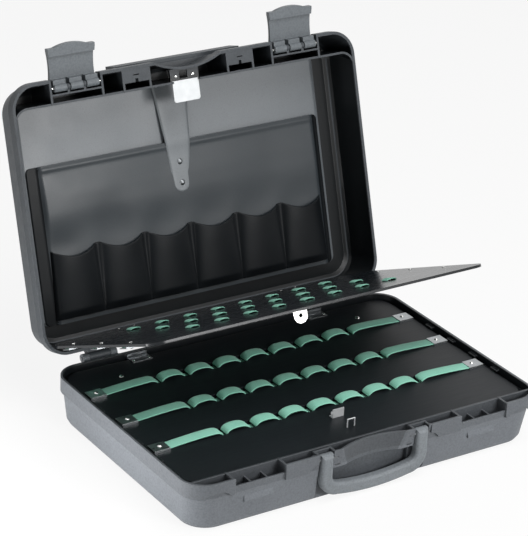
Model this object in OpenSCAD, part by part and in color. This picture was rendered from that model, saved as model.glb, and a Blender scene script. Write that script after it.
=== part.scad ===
// Hard tool case, shown open: a base shell and a lid shell on a rear hinge, two
// boards with elastic tool loops, a lid lined with soft pockets, two front
// latches and a fold-down carrying handle.
// X runs left to right, Y front to back, Z up. The origin is the centre of the
// underside. Lid pieces are drawn in the closed position and then swung open.

/* [Shells] */
// Outside width of the case at the rim
case_w = 460; // [440:5:500]
// Outside depth of the case at the rim
case_d = 310; // [300:5:340]
// Height of the base shell
base_h = 60; // [58:1:72]
// Height of the lid shell
lid_h = 50; // [49:1:60]
// Thickness of the moulded walls
wall_t = 2.5; // [2.2:0.1:3.2]
// Thickness of the inner ribs and partitions
rib_t = 2.5; // [1.8:0.1:3]
// Radius of the upright corners
corner_r = 30; // [26:1:36]
// Radius of the edge round the underside and the lid top
edge_r = 7; // [4:0.5:9]
// How far the side walls lean in over their height
side_draft = 7; // [4:0.5:8]
// How far the front walls lean in over their height
front_draft = 8; // [6:0.5:9]
// How far the rear walls lean in over their height
rear_draft = 2; // [1:0.5:3]
// How far the rim band stands proud of the wall
band_t = 1; // [0.8:0.1:1.6]
// Height of the rim band
band_h = 18; // [14:1:19]
// Depth of the box section along the base's front rim
base_beam_d = 17; // [16:0.5:20]
// Depth of the box section along the lid's front rim
lid_beam_d = 26; // [25:0.5:28]

/* [Hinge] */
// Angle of the open lid from closed
lid_open = 107; // [95:1:112]
// Distance of the hinge pin behind the rim
hinge_back = 8; // [7:0.5:10]
// Height of the hinge pin above the rim joint
hinge_up = 0; // [-1:0.5:2]
// Diameter of the hinge pin
hinge_pin_d = 4; // [3:0.5:5]
// Distance from the centre to the middle of each hinge
hinge_x = 164; // [140:1:166]
// Width of one hinge
hinge_w = 44; // [36:1:50]

/* [Latches] */
// Distance from the centre to the middle of each latch
latch_x = 147; // [144:1:150]
// Width of a latch
latch_w = 60; // [56:1:60]
// Length of a latch below its pin
latch_l = 48; // [46:1:50]
// Distance from the latch pin to the hook
latch_hook = 35; // [33:0.5:37]
// Height of the latch pin above the rim joint
latch_up = 2; // [1:0.5:4]
// Diameter of the latch pin
latch_pin_d = 3; // [2.5:0.1:3.5]
// Angle of the open latch from closed
latch_open = 82; // [70:1:84]

/* [Handle] */
// Width over the two posts of the handle
handle_w = 140; // [130:1:142]
// Width of the handle's bar
bar_w = 15; // [12:0.5:16]
// Thickness of the handle, front to back
handle_t = 12; // [10:0.5:13]
// Distance from the handle's pins to the bottom of the grip
handle_drop = 50; // [46:0.5:51]
// Radius of the grip's gentle curve
grip_curve = 270; // [220:10:320]
// Diameter of the handle pins
handle_pin_d = 4; // [3:0.5:5]

/* [Boards] */
// Thickness of both tool boards
board_t = 3; // [2:0.5:4]
// Depth of the base board's face below the rim
board_drop = 6; // [5:0.5:8]
// Tilt of the lowered tool panel above level
panel_tilt = 24.5; // [20:0.5:26]
// Height of the panel hinge above the rim joint, with the lid closed
panel_rise = 31; // [30:0.5:34]
// Number of tool loops in a row
loop_count = 7; // [5:1:7]
// Spacing of the tool loops
loop_pitch = 37.5; // [34:0.5:38]
// Spacing of the rows of loops
row_pitch = 69; // [60:1:72]
// Distance of the base board's rear row from its hinge
base_rear_row = 60; // [50:1:66]
// Distance of the tool panel's rear row from its hinge
panel_rear_row = 62; // [50:1:66]
// Width of the elastic
elastic_w = 15; // [12:1:20]
// Thickness of the elastic
elastic_t = 1.4; // [1:0.1:1.6]
// Height of the tool loops
loop_h = 6.5; // [6:0.5:8]
// Distance from the centre to each hinge of the base board
base_hinge_x = 121; // [100:1:140]
// Distance from the centre to each hinge of the tool panel
panel_hinge_x = 112; // [100:1:140]

/* [Lid pockets] */
// Width of the lid lining
liner_w = 400; // [380:4:408]
// Width of the document pocket
document_w = 380; // [340:5:384]
// Height of the document pocket
document_h = 184; // [160:2:190]
// Number of tool pockets
pocket_count = 6; // [4:1:6]
// Spacing of the tool pockets
pocket_pitch = 62; // [56:1:63]
// Width of one tool pocket
pocket_w = 51; // [46:1:52]
// Height of the tool pockets
pocket_h = 76; // [66:2:80]
// Rise of the tool pockets
pocket_rise = 5.5; // [4:0.5:6]
// Length of the closing strap
strap_l = 131; // [116:1:140]
// Distance of the closing strap to the left of the centre
strap_off = 4; // [0:1:10]

/* [Hidden] */
$fn = 48;

eps = 0.01;
fit_gap = 0.05;        // radial clearance of a running pin
side_gap = 0.5;        // clearance beside a moving piece
rim_gap = 0.4;         // between the closed shells' rims
big = 600;             // larger than the case, for cutting away

half_w = case_w / 2;
half_d = case_d / 2;
rim_z = base_h;
skin = band_t + wall_t;                   // wall thickness at the rim
base_front_y = -half_d + base_beam_d;     // outer face of the base's inner front wall
lid_front_y = -half_d + lid_beam_d;       // outer face of the lid's inner front wall

grey = [0.42, 0.43, 0.44];
dark = [0.12, 0.13, 0.14];
green = [0.44, 0.74, 0.61];
steel = [0.85, 0.86, 0.88];
black = [0.08, 0.09, 0.10];

// ---------- shared shapes ----------

// Flat rounded rectangle made of squares and true circles
module rounded_rect(w, d, r) {
    square([w - 2 * r, d], center = true);
    square([w, d - 2 * r], center = true);
    for (x = [-1, 1], y = [-1, 1]) translate([x * (w / 2 - r), y * (d / 2 - r)]) circle(r);
}

// Thin slice of a drafted shell, at a depth below its rim
module shell_slice(h, depth, inset, extra) {
    lean = depth / h;
    side = inset + side_draft * lean + extra;
    front = inset + front_draft * lean + extra;
    rear = inset + rear_draft * lean + extra;
    r = max(corner_r - inset - extra / 2, 3);
    translate([0, (front - rear) / 2, -depth])
        linear_extrude(eps) rounded_rect(case_w - 2 * side, case_d - front - rear, r);
}

// Drafted block with rounded upright corners: rim at Z = 0, closed end below
module shell_form(h, depth, inset, edge) {
    hull() {
        shell_slice(h, 0, inset, 0);
        shell_slice(h, depth - edge, inset, 0);
        shell_slice(h, depth - edge * 0.3, inset, edge * 0.3);
        shell_slice(h, depth, inset, edge);
    }
}

// Upright rim band from the rim down to a depth
module band_form(depth) translate([0, 0, -depth]) linear_extrude(depth) rounded_rect(case_w, case_d, corner_r);

module at_base_rim() translate([0, 0, rim_z]) children();
module at_lid_rim() translate([0, 0, rim_z + rim_gap]) mirror([0, 0, 1]) children();

// Box given by its limits along each axis
module limits(x0, x1, y0, y1, z0, z1) {
    translate([x0, y0, z0]) cube([x1 - x0, y1 - y0, z1 - z0]);
}

// Shape repeated on the left and on the right
module both_sides() {
    children();
    mirror([1, 0, 0]) children();
}

// Cylinder along X, centred on x
module rod_x(x, y, z, d, l) {
    translate([x - l / 2, y, z]) rotate([0, 90, 0]) cylinder(d = d, h = l);
}

// Domed rivet head on a short shank, standing on Z = 0
module rivet(d, rise, shank) {
    ball = (d * d / 4 + rise * rise) / (2 * rise);
    intersection() {
        translate([0, 0, rise - ball]) sphere(ball, $fn = 32);
        cylinder(d = d, h = rise + 1, $fn = 32);
    }
    translate([0, 0, -shank]) cylinder(d = d / 2, h = shank + eps, $fn = 24);
}

// ---------- lid position ----------

hinge_y = half_d + hinge_back;
hinge_z = rim_z + hinge_up;

module swing(y, z, angle) {
    translate([0, y, z]) rotate([-angle, 0, 0]) translate([0, -y, -z]) children();
}

module opened_lid() swing(hinge_y, hinge_z, lid_open) children();

// ---------- hinge between the shells ----------

lug_r = 5;
lug_w = 8;
lug_x = hinge_x + hinge_w / 2 - lug_w / 2;
lid_lug_w = hinge_w - 2 * lug_w - 2 * side_gap;

// Arm from the rear wall to the hinge pin, seen from the side; up is 1 or -1
module lug_profile(up) {
    root_y = half_d - skin;
    translate([hinge_y, hinge_z]) circle(lug_r);
    polygon([[root_y, rim_z + up * (band_h - 4)], [root_y, rim_z + up * 0.5],
        [hinge_y - lug_r, rim_z + up * 0.5], [hinge_y, hinge_z - lug_r],
        [hinge_y + lug_r * 0.7, hinge_z + up * lug_r * 0.7],
        [hinge_y, hinge_z + up * lug_r]]);
}

module lug(x, w, up) {
    translate([x - w / 2, 0, 0]) rotate([90, 0, 90]) linear_extrude(w) lug_profile(up);
}

module base_lugs() both_sides() {
    lug(hinge_x - hinge_w / 2 + lug_w / 2, lug_w, -1);
    lug(lug_x, lug_w, -1);
}

module lid_lugs() both_sides() lug(hinge_x, lid_lug_w, 1);

module hinge_pins() color(steel) both_sides()
    rod_x(hinge_x, hinge_y, hinge_z, hinge_pin_d, hinge_w + 2);

module hinge_bores(gap) both_sides()
    rod_x(hinge_x, hinge_y, hinge_z, hinge_pin_d + 2 * gap, hinge_w + 6);

// ---------- front features shared by the shells ----------

latch_bay = latch_w / 2 + 1.5;           // half width of a latch's bay
latch_rib_x = latch_w / 6 + 0.25;        // ribs between the latch's three knuckles
latch_y = -half_d + 10;
latch_z = rim_z + latch_up;

post_x = handle_w / 2 - bar_w / 2;      // middle of a handle post
post_bay = bar_w / 2 + 1.5;             // half width of a post's bay
lip_half = post_x - post_bay;            // half width of the finger lip
lip_dip = 11;                            // how far the lip curves in
lip_span = lip_half - 8;
lip_r = (lip_span * lip_span + lip_dip * lip_dip) / (2 * lip_dip);
lip_h = 22;

// Upright cylinder that hollows the finger lip
module lip_round(grow, z0, z1) {
    translate([0, -half_d + lip_dip - lip_r, z0]) cylinder(r = lip_r + grow, h = z1 - z0, $fn = 96);
}

// ---------- base shell ----------

beam_floor = rim_z - 24;
latch_sill = rim_z - 10;
handle_y = -half_d + 4;                  // pin axis of the handle
handle_z = rim_z - 8;
handle_back = handle_y + handle_t / 2;
recess_y = handle_back + 1;              // floor of the handle's recess
finger_y = recess_y + 5.5;               // floor of the finger hollow
finger_half = lip_half - 2.5;
ledge_w = 10;
ledge_t = 2.5;
board_z = rim_z - board_drop;            // top face of the base board
board_under = board_z - board_t;
catch_y = 2.1;                           // how far the latch catch stands out
catch_w = 36;

module base_outside() {
    at_base_rim() shell_form(base_h, base_h, band_t, edge_r);
    difference() {
        at_base_rim() band_form(band_h);
        base_band_cuts();
    }
}

// Places where the rim band stops: round the latches and the handle
module base_band_cuts() {
    run_out = 20;
    both_sides() {
        limits(latch_x - latch_bay - eps, latch_x + latch_bay + eps, -big, -half_d + 20, 0, latch_sill);
        limits(0, lip_half + 2 * post_bay + 3, -big, -half_d + 20, 0, rim_z + 1);
        // the band's lower edge sweeps up to the latch and away from the handle
        translate([latch_x + latch_bay + run_out, -half_d + 20, rim_z - band_h - run_out + 7])
            rotate([90, 0, 0]) cylinder(r = run_out, h = 60);
        translate([post_x + post_bay + 2.5, -half_d + 20, rim_z - band_h - 3])
            rotate([90, 0, 0]) cylinder(r = 11, h = 60);
    }
}

module base_inside() at_base_rim() shell_form(base_h, base_h - wall_t, skin, edge_r - 1);

// Everything inside the shell that is moulded with it
module base_inner_parts() {
    inner_y = base_front_y + rib_t;
    limits(-half_w, half_w, base_front_y, inner_y, beam_floor - rib_t, rim_z - 1);
    limits(-half_w, half_w, -half_d, inner_y, beam_floor - rib_t, beam_floor);
    both_sides() {
        for (x = [latch_x - latch_bay - rib_t, latch_x + latch_bay])
            limits(x, x + rib_t, -half_d, inner_y, beam_floor - 1, rim_z - 0.5);
        for (s = [-1, 1])
            limits(latch_x + s * latch_rib_x - 1, latch_x + s * latch_rib_x + 1,
                -half_d, inner_y, beam_floor - 1, rim_z - 5);
        // bosses that carry the handle pins
        for (s = [-1, 1]) rod_x(post_x + s * (post_bay + 3), handle_y + 2, handle_z, 12, 6);
    }
    // housing of the handle recess and of the finger hollow
    limits(-post_x - post_bay - rib_t, post_x + post_bay + rib_t, -half_d - 5, recess_y + rib_t,
        0, rim_z - 0.3);
    limits(-finger_half - rib_t, finger_half + rib_t, recess_y, finger_y + rib_t,
        8, rim_z - lip_h + rib_t);
    // ledge that the board rests on
    difference() {
        limits(-half_w, half_w, base_front_y, half_d, board_under - ledge_t, board_under);
        translate([0, (base_front_y + rib_t + half_d - skin) / 2, 0]) linear_extrude(big)
            rounded_rect(case_w - 2 * skin - 2 * ledge_w,
                half_d - skin - base_front_y - rib_t - 2 * ledge_w + 4, corner_r - ledge_w);
    }
}

// Short tabs on the side walls that hold the board's edges down
module base_side_tabs() both_sides() for (k = [0:3])
    limits(half_w - skin - board_side_gap + 1, half_w - skin + 1, 46 - 42 * k, 58 - 42 * k, board_z + 0.8, board_z + 2.6);

module base_cuts() {
    both_sides() {
        // latch bay: the outer wall is cut down to the sill
        limits(latch_x - latch_bay, latch_x + latch_bay, -big, base_front_y, latch_sill, rim_z + 1);
        // bay of the handle post
        limits(post_x - post_bay, post_x + post_bay, -big, recess_y, -1, rim_z + 1);
        rod_x(post_x, handle_y, handle_z, handle_pin_d, 30);
    }
    // recess behind the grip, and the deeper hollow for the fingers
    limits(-post_x, post_x, -big, recess_y, -1, rim_z - lip_h);
    limits(-finger_half, finger_half, -big, finger_y, 10.5, rim_z - lip_h);
    lip_round(0, rim_z - lip_h - 1, rim_z + 1);
    // pocket behind the lip
    difference() {
        limits(-lip_half + rib_t, lip_half - rib_t, -half_d + skin, base_front_y, rim_z - lip_h + rib_t, rim_z + 1);
        lip_round(rib_t, 0, rim_z + 2);
    }
    hinge_bores(0);
    // recessed field of the underside
    translate([0, (front_draft - rear_draft) / 2, -1]) linear_extrude(1.8)
        rounded_rect(case_w - 96, case_d - 100, 20);
}

// Ramp on the front wall with a step that the latch hook goes under
module latch_catches() {
    lean = front_draft / base_h;
    top = latch_z - latch_hook + 3.4;
    under = latch_z - latch_hook + 0.7;
    wall_y = -half_d + band_t + lean * (rim_z - top);
    ramp = 6;
    both_sides() translate([latch_x - catch_w / 2, 0, 0]) rotate([90, 0, 90]) linear_extrude(catch_w)
        polygon([[wall_y + wall_t, under], [wall_y - catch_y, under], [wall_y - catch_y, under + 1.4],
            [wall_y - lean * ramp + 0.4, top + ramp], [wall_y + wall_t, top + ramp]]);
}

module base_shell() color(grey) difference() {
    union() {
        difference() {
            base_outside();
            base_inside();
        }
        intersection() {
            at_base_rim() shell_form(base_h, base_h, band_t + 0.5, edge_r);
            base_inner_parts();
        }
        base_side_tabs();
        latch_catches();
        base_lugs();
    }
    base_cuts();
}

// ---------- lid shell (closed position) ----------

lid_top = rim_z + rim_gap + lid_h;
lid_floor = lid_top - wall_t;            // inner face of the lid's top
lid_lip_h = 20;
plate_drop = 6;                          // bright plate's seat above the rim joint
plate_t = 1;
plate_w = 35;
plate_h = 25;
block_w = 32;
block_h = 18;
bay_h = 17;                              // height of the opening over a latch
partition_r = 18;
latch_back_y = latch_y + 6.5;            // rib behind the latch pin

module lid_outside() {
    at_lid_rim() shell_form(lid_h, lid_h, band_t, edge_r);
    at_lid_rim() band_form(band_h - 6);
    // guard that stands out above the handle
    limits(-handle_w * 0.6, handle_w * 0.6, -half_d, -half_d + 20, rim_z + lid_lip_h + 4, lid_top - edge_r + 2);
}

module lid_inside() at_lid_rim() shell_form(lid_h, lid_h - wall_t, skin, edge_r - 1);

// Wall between the beam and the lid's inside; its ends curve into the side walls
module lid_partition() {
    half = half_w - skin + rib_t + 0.3;
    translate([0, 0, rim_z + 1]) linear_extrude(lid_top - rim_z - 1) intersection() {
        translate([0, lid_front_y + half_d]) difference() {
            rounded_rect(2 * half, 2 * half_d, partition_r);
            rounded_rect(2 * half - 2 * rib_t, 2 * half_d - 2 * rib_t, partition_r - rib_t);
        }
        translate([-half_w, lid_front_y]) square([2 * half_w, partition_r + 2]);
    }
}

module lid_inner_parts() {
    inner_y = lid_front_y + rib_t;
    lid_partition();
    both_sides() {
        for (x = [latch_x - latch_bay - rib_t, latch_x + latch_bay])
            limits(x, x + rib_t, -half_d, inner_y, rim_z + 0.5, lid_top);
        limits(latch_x - latch_bay, latch_x + latch_bay, latch_back_y, latch_back_y + 2,
            rim_z + 0.5, lid_top);
        for (s = [-1, 1])
            limits(latch_x + s * latch_rib_x - 1.5, latch_x + s * latch_rib_x + 1.5,
                latch_y + 4.4, latch_back_y + 1, rim_z + 0.5, lid_top);
        // blocks over the handle posts
        limits(post_x - 9, post_x - 9 + block_w, -half_d + skin, -half_d + skin + 15,
            rim_z + 0.5, rim_z + block_h);
        for (x = [post_x - 9 - rib_t, post_x - 9 + block_w])
            limits(x, x + rib_t, -half_d, inner_y, rim_z + 0.5, lid_top);
    }
    // shelf that carries the plate's rivets
    limits(-strap_off - 19, -strap_off + 19, -half_d + lip_dip + 1, lid_front_y + rib_t,
        rim_z + plate_drop, rim_z + plate_drop + rib_t);
    // wall behind the finger scoop
    intersection() {
        lip_round(rib_t, rim_z + 0.5, rim_z + lid_lip_h + rib_t);
        limits(-lip_half, lip_half, -half_d, inner_y, rim_z + 0.5, rim_z + lid_lip_h + rib_t);
    }
}

// Round ears that carry the latch pins between the knuckles
module latch_ears() both_sides() for (s = [-1, 1]) {
    rod_x(latch_x + s * latch_rib_x, latch_y, latch_z, latch_pin_d + 4, 3);
    limits(latch_x + s * latch_rib_x - 1.5, latch_x + s * latch_rib_x + 1.5,
        latch_y, latch_y + 5, latch_z - 1.2, latch_z + 3.3);
}

module lid_cuts() {
    both_sides() {
        // slot and notch in each block
        limits(post_x + 3, post_x + 11, -half_d + skin + 6, -half_d + skin + 7.2, rim_z, rim_z + 6);
        limits(post_x + 5, post_x + 9, -half_d + skin + 11, -half_d + skin + 16, rim_z, rim_z + 6);
        rod_x(latch_x, latch_y, latch_z, latch_pin_d, 2 * latch_bay - 1);
    }
    lip_round(0, rim_z - 1, rim_z + lid_lip_h);
    // notch that seats the bright plate, rivet holes and a square hole beside them
    limits(-strap_off - plate_w / 2 - 0.2, -strap_off + plate_w / 2 + 0.2, lid_front_y - 1,
        lid_front_y + rib_t + 1, rim_z - 1, rim_z + plate_drop);
    for (s = [-1, 1]) translate([-strap_off + s * 11.5, lid_front_y - 5, rim_z])
        cylinder(d = 2.25, h = plate_drop + rib_t + 1, $fn = 24);
    limits(-strap_off - 7, -strap_off + 4, lid_front_y - 11, lid_front_y - 2,
        rim_z, rim_z + plate_drop + rib_t + 1);
    hinge_bores(fit_gap);
    // shallow field of the lid top
    translate([0, (front_draft - rear_draft) / 2, lid_top - 0.8]) linear_extrude(2)
        rounded_rect(case_w - 96, case_d - 100, 20);
}

// Openings in the front wall for the latches
module latch_bays() both_sides()
    limits(latch_x - latch_bay, latch_x + latch_bay, -big, latch_y - 2.5, rim_z - 1, rim_z + bay_h);

module lid_closed() difference() {
    union() {
        difference() {
            lid_outside();
            lid_inside();
            latch_bays();
        }
        intersection() {
            at_lid_rim() shell_form(lid_h, lid_h, band_t + 0.5, edge_r);
            lid_inner_parts();
        }
        lid_lugs();
        latch_ears();
    }
    lid_cuts();
}

module lid_shell() color(grey) opened_lid() lid_closed();

// ---------- latches (closed position, then flipped up on the open lid) ----------

latch_plate_t = 3.5;
latch_stand = 8;                         // from the pin to the back of the plate
knuckle_w = latch_w / 3 - 4.5;
latch_waist = 1.8;

// Outline of the latch plate, from the front; the pin is at the origin
module latch_outline() {
    mid = -(latch_l - 8) / 2;
    waist_r = 120;
    difference() {
        translate([-latch_w / 2, -latch_l + 4]) square([latch_w, latch_l + 1]);
        for (s = [-1, 1]) translate([s * (latch_w / 2 + waist_r - latch_waist), mid]) circle(waist_r, $fn = 180);
    }
    // arched end
    arch_half = latch_w / 2 - 8;
    arch_r = (arch_half * arch_half + 16) / 8;
    intersection() {
        translate([0, -latch_l + arch_r]) circle(arch_r, $fn = 120);
        translate([-arch_half, -latch_l]) square([2 * arch_half, 6]);
    }
}

module latch_body() {
    front_y = -latch_stand - latch_plate_t;
    difference() {
        union() {
            translate([0, -latch_stand, 0]) rotate([90, 0, 0]) linear_extrude(latch_plate_t) latch_outline();
            // thick end with the hook face swung round the pin
            intersection() {
                translate([0, -latch_stand + 3, 0]) rotate([90, 0, 0])
                    linear_extrude(latch_plate_t + 3) latch_outline();
                limits(-big, big, -big, big, -latch_l, -latch_hook + 6);
            }
            for (s = [-1, 0, 1]) translate([s * latch_w * 0.3417, 0, 0]) {
                rod_x(0, 0, 0, 9, knuckle_w);
                limits(-knuckle_w / 2, knuckle_w / 2, -latch_stand - 1, 0, -9, 4.5);
            }
        }
        // the hook face is part of a cylinder round the pin
        intersection() {
            rod_x(0, 0, 0, 2 * latch_hook + 0.4, big);
            limits(-big, big, -latch_stand, 20, -big, -9.5);
        }
        rod_x(0, 0, 0, latch_pin_d + 2 * fit_gap, big);
    }
}

module placed_latch(x) opened_lid() translate([x, latch_y, latch_z]) rotate([-latch_open, 0, 0]) latch_body();

module latch_left() color(dark) placed_latch(-latch_x);
module latch_right() color(dark) placed_latch(latch_x);

module latch_pins() color(steel) opened_lid() both_sides()
    rod_x(latch_x, latch_y, latch_z, latch_pin_d, 2 * latch_bay - 1);

// ---------- carrying handle ----------

bend_r = 16;                             // bend between post and grip
bar_edge = 4;

bend_swell = 0.4;                        // the bends are this much thicker
bend_lap = 5;                            // angle by which they lap the bar

module bar_section(swell = 0) rounded_rect(bar_w + swell, handle_t + swell, bar_edge + swell / 2);

// Bend of the bar in the XZ plane, from one angle on to another
module bar_bend(r, from, to, swell = 0) rotate([90, 0, 0]) rotate([0, 0, from])
    rotate_extrude(angle = to - from, $fn = 180) translate([r, 0]) bar_section(swell);

module carry_handle() color(grey) translate([0, handle_y, handle_z]) difference() {
    curve_z = -handle_drop + bar_w / 2 + grip_curve;
    bend_x = post_x - bend_r;
    lean = asin(bend_x / (grip_curve - bend_r));
    bend_z = curve_z - (grip_curve - bend_r) * cos(lean);
    union() {
        translate([0, 0, curve_z]) bar_bend(grip_curve, -90 - lean, -90 + lean);
        both_sides() {
            translate([bend_x, 0, bend_z])
                bar_bend(bend_r, -90 + lean - bend_lap, bend_lap, bend_swell);
            // post with a rounded upper end
            translate([post_x, 0, bend_z]) linear_extrude(-bend_z) bar_section();
            intersection() {
                translate([post_x, 0, 0]) linear_extrude(handle_t) bar_section();
                rod_x(post_x, 0, 0, handle_t + 0.6, bar_w + 1);
            }
        }
    }
    rod_x(0, 0, 0, handle_pin_d + 2 * fit_gap, big);
}

module handle_pins() color(steel) both_sides()
    rod_x(post_x, handle_y, handle_z, handle_pin_d, 28);

// ---------- tool boards ----------
// A board is drawn with its hinge axis on the X axis, running towards -Y, with
// its loop side facing up at Z = face.

small_pin_d = 1.6;
knuckle_r = 1.7;
leaf_t = 0.8;
leaf_l = 12;
leaf_top = knuckle_r - 0.1;              // outer face of a leaf above the axis
small_hinge_w = 26;
hinge_reach = 3;                         // from the wall to the small hinge's axis
face = leaf_top - leaf_t;                // the board's loop side above the axis

board_side_gap = 6;
board_w = case_w - 2 * skin - 2 * board_side_gap;
board_r = 18;
panel_rear_r = 46;                       // clears the lid's rear corners when lowered
board_edge = 2.5;                        // from the hinge axis to the board
board_gap = 1.5;
loop_span = loop_count * loop_pitch;
loop_gap = 6.5;                          // slot between two loops
slot_l = elastic_w + 1;
clip_w = 19.5;
clip_inset = 1;                          // from the board's edge to the clip
clip_t = 1;
clip_x = board_w / 2 - clip_inset - clip_w / 2;
clip_rivet_x = clip_x - 1;
clip_rivet_d = 5;
bump_l = 13;
bump_h = 2.6;

function loop_x(j) = -loop_span / 2 + j * loop_pitch;
function row_y(first, k) = -first - k * row_pitch;

// Outline of a board; its rear corners are rounded to rear_r
module board_outline(l, rear_r) {
    half = board_w / 2;
    front = -board_edge - l;
    rear = -board_edge;
    translate([-half, front + board_r]) square([board_w, l - board_r - rear_r]);
    translate([board_r - half, front]) square([board_w - 2 * board_r, board_r + 1]);
    translate([rear_r - half, rear - rear_r - 1]) square([board_w - 2 * rear_r, rear_r + 1]);
    for (s = [-1, 1]) {
        translate([s * (half - board_r), front + board_r]) circle(board_r);
        translate([s * (half - rear_r), rear - rear_r]) circle(rear_r, $fn = 96);
    }
}

module board_plate(l, first, rear_r) difference() {
    translate([0, 0, face - board_t]) linear_extrude(board_t) board_outline(l, rear_r);
    for (k = [0:2], j = [0:loop_count])
        translate([loop_x(j) - loop_gap / 2, row_y(first, k) - slot_l / 2, face - board_t - 1])
            cube([loop_gap, slot_l, board_t + 2]);
    for (k = [0:2], s = [-1, 1]) translate([s * clip_rivet_x, row_y(first, k), -big / 2])
        cylinder(d = clip_rivet_d / 2, h = big, $fn = 24);
}

// Part of a circle above a chord, standing on Y = 0
module bow(chord, rise) {
    r = (chord * chord / 4 + rise * rise) / (2 * rise);
    intersection() {
        translate([0, rise - r]) circle(r, $fn = 180);
        translate([-chord / 2, 0]) square([chord, rise + 1]);
    }
}

// Arched strip of a given chord and rise, standing on Y = 0
module arch(chord, rise, t) {
    r = (chord * chord / 4 + rise * rise) / (2 * rise);
    difference() {
        bow(chord, rise);
        translate([0, rise - r]) circle(r - t, $fn = 180);
    }
}

// A row of elastic seen from the front: loops above, pulled-through bumps below
module elastic_profile() {
    under = -board_t - 0.1;
    for (k = [0:loop_count - 1]) translate([loop_x(k) + loop_pitch / 2, 0])
        arch(loop_pitch - loop_gap + 2 * elastic_t, loop_h, elastic_t);
    run_start = loop_span / 2 + loop_gap / 2 - elastic_t;
    run_end = clip_x - clip_w / 2 + elastic_t;
    for (s = [-1, 1]) {
        translate([s * (run_start + run_end) / 2, 0]) arch(run_end - run_start, loop_h * 0.6, elastic_t);
        translate([s * clip_x - clip_w / 2, 0]) square([clip_w, elastic_t]);
    }
    for (j = [0:loop_count]) translate([loop_x(j), 0]) {
        translate([-elastic_t, under - 0.5]) square([2 * elastic_t, board_t + 1.1]);
        translate([0, under]) mirror([0, 1]) bow(bump_l, bump_h);
    }
}

module elastic_row(first, k) translate([0, row_y(first, k) + elastic_w / 2, face]) difference() {
    rotate([90, 0, 0]) linear_extrude(elastic_w) elastic_profile();
    for (s = [-1, 1]) translate([s * clip_rivet_x, -elastic_w / 2, -big / 2])
        cylinder(d = clip_rivet_d / 2, h = big, $fn = 24);
}

// Folded metal clips over both ends of the three rows
module end_clips(first) for (k = [0:2], s = [-1, 1]) translate([s * clip_x, row_y(first, k), face]) difference() {
    union() {
        limits(-clip_w / 2, clip_w / 2, -elastic_w / 2 - 1.2, elastic_w / 2, elastic_t, elastic_t + clip_t);
        limits(-clip_w / 2, clip_w / 2, -elastic_w / 2 - 1.2, -elastic_w / 2 - 0.2, 0, elastic_t + clip_t);
    }
    translate([s * (clip_rivet_x - clip_x), 0, 0]) cylinder(d = clip_rivet_d / 2, h = 5, $fn = 24);
}

// Rivets through clip, elastic and board, with a tail on the far side
module clip_rivets(first) for (k = [0:2], s = [-1, 1]) translate([s * clip_rivet_x, row_y(first, k), face]) {
    translate([0, 0, elastic_t + clip_t]) rivet(clip_rivet_d, 1.5, elastic_t + clip_t + board_t);
    translate([0, 0, -board_t - 0.7]) cylinder(d = clip_rivet_d * 0.8, h = 0.7, $fn = 32);
}

// ---------- small hinges of the boards ----------

module hinge_knuckles(which) {
    third = small_hinge_w / 3;
    for (i = which) rod_x(i * third, 0, 0, 2 * knuckle_r, third - 0.2);
}

// Leaf that lies on the board's loop side, with the two outer knuckles
module board_leaves(x) both_sides() translate([x, 0, 0]) difference() {
    union() {
        hinge_knuckles([-1, 1]);
        for (s = [-1, 1]) translate([s * small_hinge_w / 3, 0, 0])
            limits(0.1 - small_hinge_w / 6, small_hinge_w / 6 - 0.1, -leaf_l, 0, face, leaf_top);
        limits(0.1 - small_hinge_w / 2, small_hinge_w / 2 - 0.1, -leaf_l, -knuckle_r - 1.5, face, leaf_top);
    }
    rod_x(0, 0, 0, small_pin_d, big);
    leaf_rivet_spots() cylinder(d = 2, h = big, center = true, $fn = 24);
}

module leaf_rivet_spots() for (s = [-1, 1]) translate([s * small_hinge_w * 0.4, -leaf_l + 4, 0]) children();

module small_pins(x) both_sides() rod_x(x, 0, 0, small_pin_d, small_hinge_w - 0.4);

// Plate fixed to the wall behind the axis, with the middle knuckle
module wall_plates(x, lean) both_sides() translate([x, 0, 0]) difference() {
    third = small_hinge_w / 3;
    union() {
        hinge_knuckles([0]);
        limits(0.1 - third / 2, third / 2 - 0.1, 0, hinge_reach - 0.5, -leaf_t / 2, leaf_t / 2);
        limits(-small_hinge_w / 2, small_hinge_w / 2, hinge_reach - leaf_t - 0.1,
            hinge_reach - 1.9 * lean, -1.9, 5);
    }
    rod_x(0, 0, 0, small_pin_d + 2 * fit_gap, big);
}

module leaf_rivets(x) both_sides() translate([x, 0, 0]) leaf_rivet_spots() {
    translate([0, 0, leaf_top]) rivet(4, 1, leaf_t + board_t);
    translate([0, 0, face - board_t]) mirror([0, 0, 1]) rivet(4, 1, 0.5);
}

module leaf_rivet_holes(x) both_sides() translate([x, 0, 0]) leaf_rivet_spots()
    cylinder(d = 2, h = big, center = true, $fn = 24);

// ---------- base board ----------

function base_wall_y(z) = half_d - skin - rear_draft * (rim_z - z) / base_h;
function lid_wall_y(z) = half_d - skin - rear_draft * (z - rim_z) / lid_h;

board_axis_z = board_z - face;
board_axis_y = base_wall_y(board_axis_z) - hinge_reach;
base_board_l = board_axis_y - board_edge - (base_front_y + rib_t + board_gap);
stud_x = 162;
stud_back = 34;                          // studs ahead of the board's hinge axis
catch_back = 230;                        // catch plate ahead of the board's hinge axis
staple_back = 255;
staple_x = 4.7;
staple_d = 1.6;

module on_base_board() translate([0, board_axis_y, board_axis_z]) children();

module base_board() color(black) on_base_board() difference() {
    board_plate(base_board_l, base_rear_row, board_r);
    leaf_rivet_holes(base_hinge_x);
    both_sides() translate([stud_x, -stud_back, 0]) cylinder(d = 3, h = big, center = true, $fn = 24);
    for (s = [-1, 1]) translate([s * staple_x, -staple_back, 0])
        cylinder(d = staple_d, h = big, center = true, $fn = 24);
}

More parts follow.
